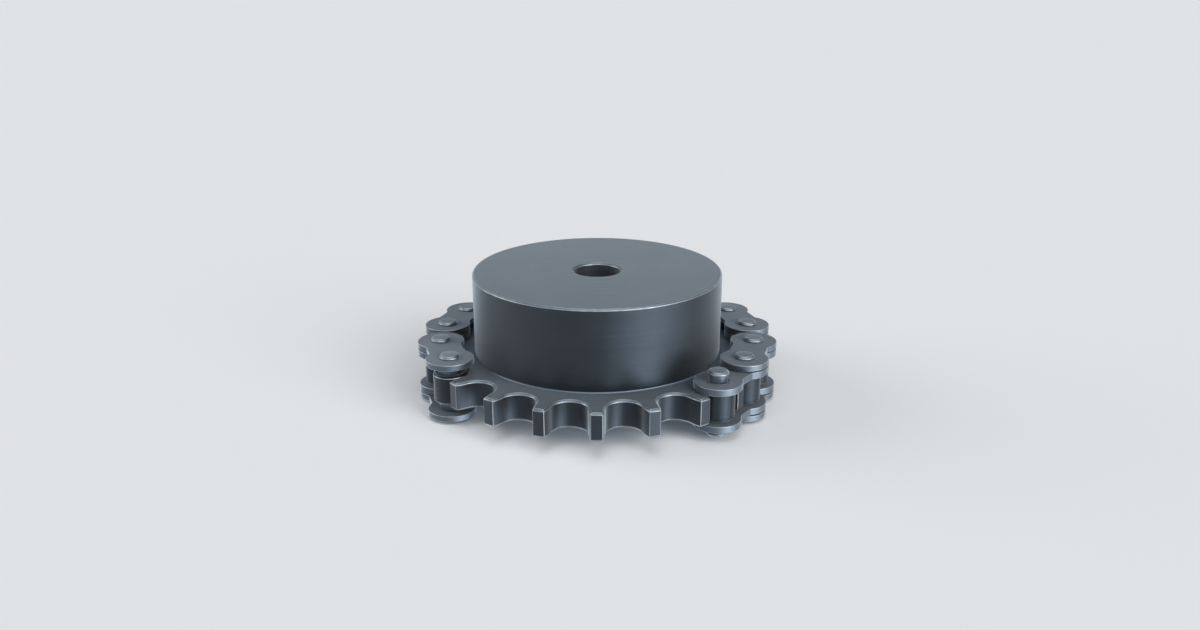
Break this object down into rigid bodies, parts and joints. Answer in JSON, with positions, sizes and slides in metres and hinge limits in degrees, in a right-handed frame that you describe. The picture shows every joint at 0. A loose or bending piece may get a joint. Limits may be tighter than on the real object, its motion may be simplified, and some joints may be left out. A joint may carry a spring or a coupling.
{
  "type": "sprocket with roller chain",
  "caption": "Toothed chain wheel with a hub on one side and a plain bore, and the length of roller chain that lies in its teeth, whose free ends lift off.",
  "frame": {"origin": "on the bore's axis, in the middle plane of the teeth, which is the chain's plane", "axes": "+Z along the bore towards the nose of the hub, -Y towards the middle of the teeth that stand free of the chain"},
  "size_m": [0.092, 0.089, 0.0327],
  "materials": {
    "wheel": "machined, dark blue-grey oxide, satin",
    "plate": "stamped and tumbled, dark blue-grey oxide, satin",
    "roller": "hardened and ground, dark, semi-gloss",
    "pin": "hardened, riveted ends, dark blue-grey oxide, satin",
    "bush": "hardened, dark blue-grey oxide, satin"
  },
  "bodies": {
    "wheel_and_seated_chain": {"sprocket_wheel": "wheel", "inner_link_2_top_plate": "plate", "inner_link_2_bottom_plate": "plate", "inner_link_2_bushes": "bush", "outer_link_3_top_plate": "plate", "outer_link_3_bottom_plate": "plate", "outer_link_3_pins": "pin", "inner_link_3_top_plate": "plate", "inner_link_3_bottom_plate": "plate", "inner_link_3_bushes": "bush", "outer_link_4_top_plate": "plate", "outer_link_4_bottom_plate": "plate", "outer_link_4_pins": "pin", "inner_link_4_top_plate": "plate", "inner_link_4_bottom_plate": "plate", "inner_link_4_bushes": "bush", "outer_link_5_top_plate": "plate", "outer_link_5_bottom_plate": "plate", "outer_link_5_pins": "pin", "inner_link_5_top_plate": "plate", "inner_link_5_bottom_plate": "plate", "inner_link_5_bushes": "bush", "outer_link_6_top_plate": "plate", "outer_link_6_bottom_plate": "plate", "outer_link_6_pins": "pin"},
    "outer_link_1": {"outer_link_1_top_plate": "plate", "outer_link_1_bottom_plate": "plate", "outer_link_1_pins": "pin"},
    "inner_link_1": {"inner_link_1_top_plate": "plate", "inner_link_1_bottom_plate": "plate", "inner_link_1_bushes": "bush"},
    "outer_link_2": {"outer_link_2_top_plate": "plate", "outer_link_2_bottom_plate": "plate", "outer_link_2_pins": "pin"},
    "inner_link_6": {"inner_link_6_top_plate": "plate", "inner_link_6_bottom_plate": "plate", "inner_link_6_bushes": "bush"},
    "outer_link_7": {"outer_link_7_top_plate": "plate", "outer_link_7_bottom_plate": "plate", "outer_link_7_pins": "pin"},
    "inner_link_7": {"inner_link_7_top_plate": "plate", "inner_link_7_bottom_plate": "plate", "inner_link_7_bushes": "bush"},
    "end_bush": {"end_bush": "bush"},
    "end_pin": {"end_pin": "pin"},
    "roller_01": {"roller_01": "roller"},
    "roller_02": {"roller_02": "roller"},
    "roller_03": {"roller_03": "roller"},
    "roller_04": {"roller_04": "roller"},
    "roller_05": {"roller_05": "roller"},
    "roller_06": {"roller_06": "roller"},
    "roller_07": {"roller_07": "roller"},
    "roller_08": {"roller_08": "roller"},
    "roller_09": {"roller_09": "roller"},
    "roller_10": {"roller_10": "roller"},
    "roller_11": {"roller_11": "roller"},
    "roller_12": {"roller_12": "roller"},
    "roller_13": {"roller_13": "roller"},
    "roller_14": {"roller_14": "roller"},
    "roller_15": {"roller_15": "roller"}
  },
  "joints": [
    {"name": "left_third_link", "type": "hinge", "parent": "wheel_and_seated_chain", "child": "outer_link_2", "pos_m": [-0.03617, 0.01843, 0], "axis": [0, 0, -1], "range_deg": [0, 3]},
    {"name": "left_second_link", "type": "hinge", "parent": "outer_link_2", "child": "inner_link_1", "pos_m": [-0.04009, 0.00635, 0], "axis": [0, 0, -1], "range_deg": [0, 12]},
    {"name": "left_end_link", "type": "hinge", "parent": "inner_link_1", "child": "outer_link_1", "pos_m": [-0.04009, -0.00635, 0], "axis": [0, 0, -1], "range_deg": [0, 48]},
    {"name": "right_third_link", "type": "hinge", "parent": "wheel_and_seated_chain", "child": "inner_link_6", "pos_m": [0.04009, 0.00635, 0], "axis": [0, 0, 1], "range_deg": [0, 3]},
    {"name": "right_second_link", "type": "hinge", "parent": "inner_link_6", "child": "outer_link_7", "pos_m": [0.04009, -0.00635, 0], "axis": [0, 0, 1], "range_deg": [0, 12]},
    {"name": "right_end_link", "type": "hinge", "parent": "outer_link_7", "child": "inner_link_7", "pos_m": [0.03617, -0.01843, 0], "axis": [0, 0, 1], "range_deg": [0, 48]},
    {"name": "end_bush_turn", "type": "hinge", "parent": "outer_link_1", "child": "end_bush", "pos_m": [-0.03617, -0.01843, 0], "axis": [0, 0, 1], "continuous": true},
    {"name": "end_pin_turn", "type": "hinge", "parent": "inner_link_7", "child": "end_pin", "pos_m": [0.0287, -0.0287, 0], "axis": [0, 0, 1], "continuous": true},
    {"name": "roller_01_turn", "type": "hinge", "parent": "end_bush", "child": "roller_01", "pos_m": [-0.03617, -0.01843, 0], "axis": [0, 0, 1], "continuous": true},
    {"name": "roller_02_turn", "type": "hinge", "parent": "inner_link_1", "child": "roller_02", "pos_m": [-0.04009, -0.00635, 0], "axis": [0, 0, 1], "continuous": true},
    {"name": "roller_03_turn", "type": "hinge", "parent": "inner_link_1", "child": "roller_03", "pos_m": [-0.04009, 0.00635, 0], "axis": [0, 0, 1], "continuous": true},
    {"name": "roller_04_turn", "type": "hinge", "parent": "wheel_and_seated_chain", "child": "roller_04", "pos_m": [-0.03617, 0.01843, 0], "axis": [0, 0, 1], "continuous": true},
    {"name": "roller_05_turn", "type": "hinge", "parent": "wheel_and_seated_chain", "child": "roller_05", "pos_m": [-0.0287, 0.0287, 0], "axis": [0, 0, 1], "continuous": true},
    {"name": "roller_06_turn", "type": "hinge", "parent": "wheel_and_seated_chain", "child": "roller_06", "pos_m": [-0.01843, 0.03617, 0], "axis": [0, 0, 1], "continuous": true},
    {"name": "roller_07_turn", "type": "hinge", "parent": "wheel_and_seated_chain", "child": "roller_07", "pos_m": [-0.00635, 0.04009, 0], "axis": [0, 0, 1], "continuous": true},
    {"name": "roller_08_turn", "type": "hinge", "parent": "wheel_and_seated_chain", "child": "roller_08", "pos_m": [0.00635, 0.04009, 0], "axis": [0, 0, 1], "continuous": true},
    {"name": "roller_09_turn", "type": "hinge", "parent": "wheel_and_seated_chain", "child": "roller_09", "pos_m": [0.01843, 0.03617, 0], "axis": [0, 0, 1], "continuous": true},
    {"name": "roller_10_turn", "type": "hinge", "parent": "wheel_and_seated_chain", "child": "roller_10", "pos_m": [0.0287, 0.0287, 0], "axis": [0, 0, 1], "continuous": true},
    {"name": "roller_11_turn", "type": "hinge", "parent": "wheel_and_seated_chain", "child": "roller_11", "pos_m": [0.03617, 0.01843, 0], "axis": [0, 0, 1], "continuous": true},
    {"name": "roller_12_turn", "type": "hinge", "parent": "inner_link_6", "child": "roller_12", "pos_m": [0.04009, 0.00635, 0], "axis": [0, 0, 1], "continuous": true},
    {"name": "roller_13_turn", "type": "hinge", "parent": "inner_link_6", "child": "roller_13", "pos_m": [0.04009, -0.00635, 0], "axis": [0, 0, 1], "continuous": true},
    {"name": "roller_14_turn", "type": "hinge", "parent": "inner_link_7", "child": "roller_14", "pos_m": [0.03617, -0.01843, 0], "axis": [0, 0, 1], "continuous": true},
    {"name": "roller_15_turn", "type": "hinge", "parent": "inner_link_7", "child": "roller_15", "pos_m": [0.0287, -0.0287, 0], "axis": [0, 0, 1], "continuous": true}
  ],
  "couplings": [
    {"joint": "left_second_link", "follows": "left_end_link", "ratio": 0.25},
    {"joint": "left_third_link", "follows": "left_end_link", "ratio": 0.0625},
    {"joint": "right_second_link", "follows": "right_end_link", "ratio": 0.25},
    {"joint": "right_third_link", "follows": "right_end_link", "ratio": 0.0625}
  ]
}
